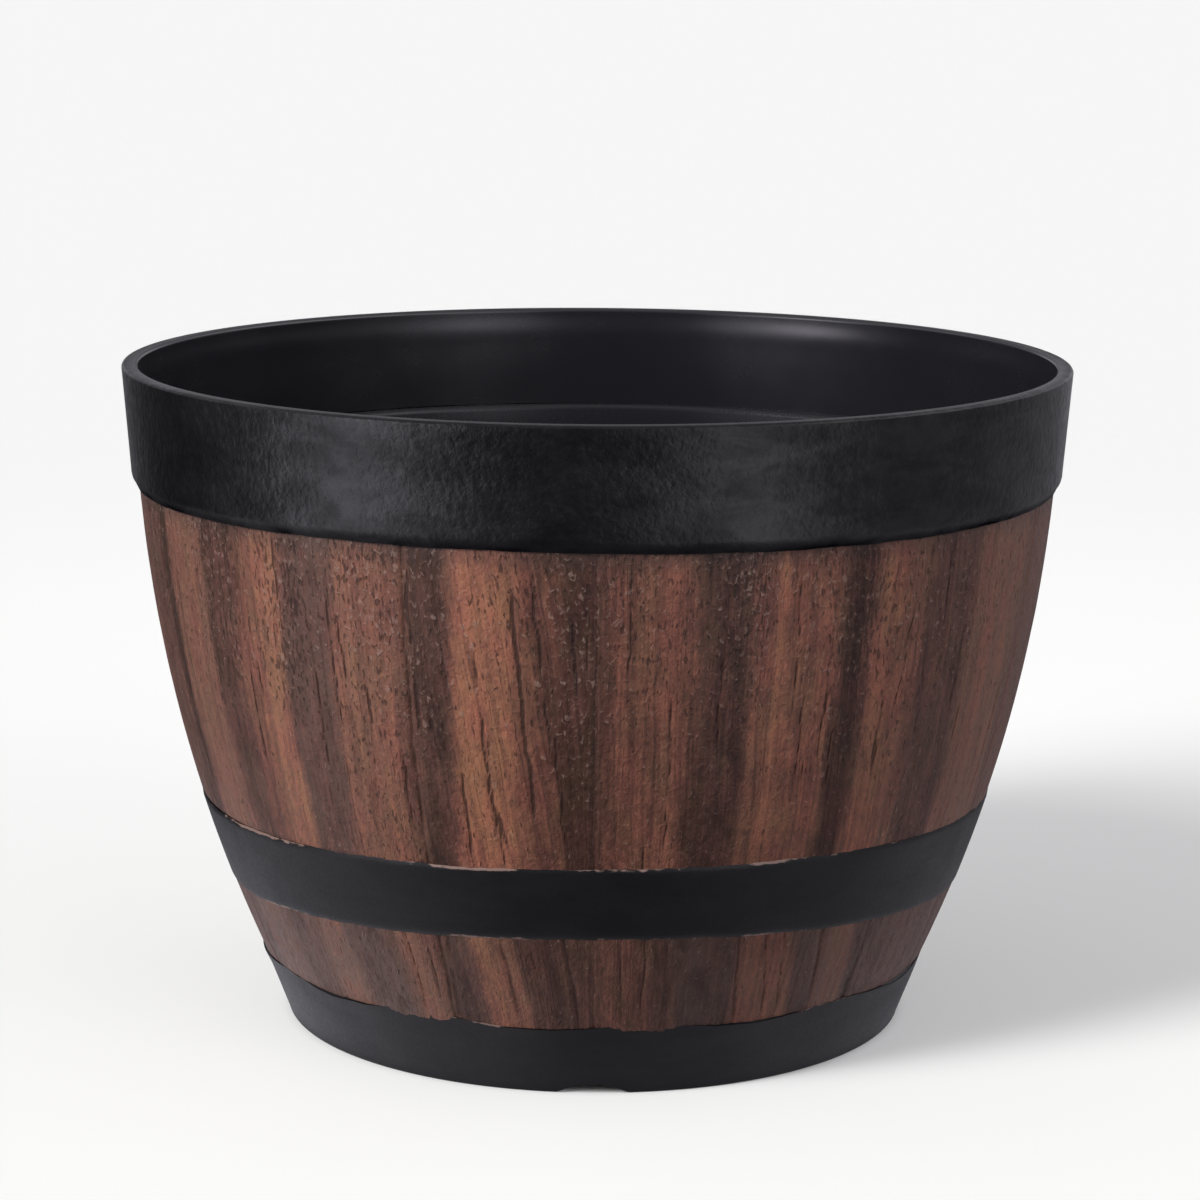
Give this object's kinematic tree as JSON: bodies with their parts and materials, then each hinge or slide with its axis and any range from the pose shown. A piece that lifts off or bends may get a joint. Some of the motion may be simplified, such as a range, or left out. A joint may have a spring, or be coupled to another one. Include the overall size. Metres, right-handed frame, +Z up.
{
  "type": "half-barrel floor planter",
  "caption": "Round floor planter shaped as a half barrel, with a wood-grain stave shell, a black rim collar, a hoop, a notched foot ring and lift-out drain plugs.",
  "frame": {"origin": "on the floor, at the centre of the foot ring's underside", "axes": "+Z up along the barrel's axis; the front, where the picture looks at a drain notch and a stave seam, faces -Y; +X is to the viewer's right"},
  "size_m": [0.381, 0.381, 0.267],
  "materials": {
    "wood_grain_resin": "moulded and printed wood grain outside, satin black inside",
    "black_resin": "matte, finely pebbled",
    "black_rubber": "matte, smooth"
  },
  "bodies": {
    "planter": {"barrel_shell": "wood_grain_resin", "rim_collar": "black_resin", "middle_hoop": "black_resin", "foot_ring": "black_resin"},
    "plug_1": {"drain_plug_1": "black_rubber"},
    "plug_2": {"drain_plug_2": "black_rubber"},
    "plug_3": {"drain_plug_3": "black_rubber"},
    "plug_4": {"drain_plug_4": "black_rubber"}
  },
  "joints": [
    {"name": "plug_1_lift", "type": "slide", "parent": "planter", "child": "plug_1", "axis": [0, 0, 1], "range_m": [0, 0.03]},
    {"name": "plug_2_lift", "type": "slide", "parent": "planter", "child": "plug_2", "axis": [0, 0, 1], "range_m": [0, 0.03]},
    {"name": "plug_3_lift", "type": "slide", "parent": "planter", "child": "plug_3", "axis": [0, 0, 1], "range_m": [0, 0.03]},
    {"name": "plug_4_lift", "type": "slide", "parent": "planter", "child": "plug_4", "axis": [0, 0, 1], "range_m": [0, 0.03]}
  ]
}
